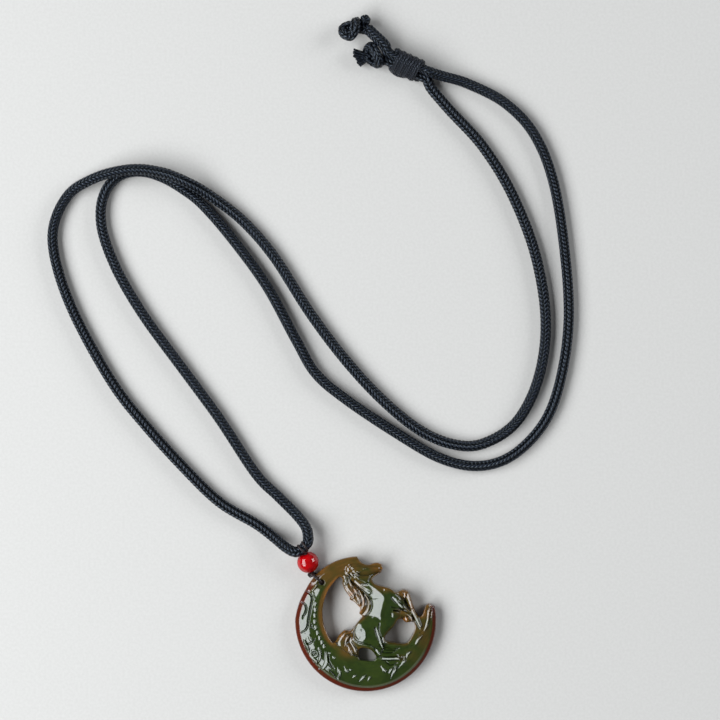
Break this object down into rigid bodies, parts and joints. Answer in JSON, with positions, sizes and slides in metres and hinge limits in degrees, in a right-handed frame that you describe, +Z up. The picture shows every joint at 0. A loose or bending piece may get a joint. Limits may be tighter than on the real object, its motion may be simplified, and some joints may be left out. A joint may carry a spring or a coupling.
{
  "type": "carved jade pendant necklace",
  "caption": "Openwork jade pendant, a horse inside a crescent, hung by a thread and a bead on an adjustable braided neck cord with a sliding knot.",
  "frame": {"origin": "middle of the back of the jade carving, on the surface that it lies on", "axes": "+Z up from the surface through the carving's front, +Y from the carving towards the ends of the neck cord, +X to the right"},
  "size_m": [0.1433, 0.184, 0.0068],
  "materials": {
    "jade": "polished",
    "agate": "polished",
    "thread": "waxed",
    "cord": "braided satin",
    "wrapping": "twisted satin"
  },
  "bodies": {
    "neck_cord": {"neck_cord": "cord", "stopper_knot_upper": "cord", "stopper_knot_lower": "cord", "cord_stub": "cord"},
    "sliding_knot": {"sliding_knot": "wrapping"},
    "hanger": {"thread_hitch": "thread", "bead_thread": "thread", "thread_knot": "thread", "hanging_loop": "thread"},
    "bead": {"agate_bead": "agate"},
    "pendant": {"jade_carving": "jade"}
  },
  "joints": [
    {"name": "knot_slide", "type": "slide", "parent": "neck_cord", "child": "sliding_knot", "axis": [0.9063, -0.4226, 0], "range_m": [-0.0008, 0.0012]},
    {"name": "hanger_swing", "type": "hinge", "parent": "neck_cord", "child": "hanger", "pos_m": [-0.01695, 0.0209, 0.00515], "axis": [-0.766, -0.6428, 0], "range_deg": [0, 100]},
    {"name": "bead_spin", "type": "hinge", "parent": "hanger", "child": "bead", "pos_m": [-0.0157, 0.0168, 0.00295], "axis": [0.2594, -0.851, -0.4566], "continuous": true},
    {"name": "pendant_swivel", "type": "hinge", "parent": "hanger", "child": "pendant", "pos_m": [-0.0119, 0.0114, 0.0025], "axis": [0, 0, 1], "range_deg": [-18, 18]}
  ]
}
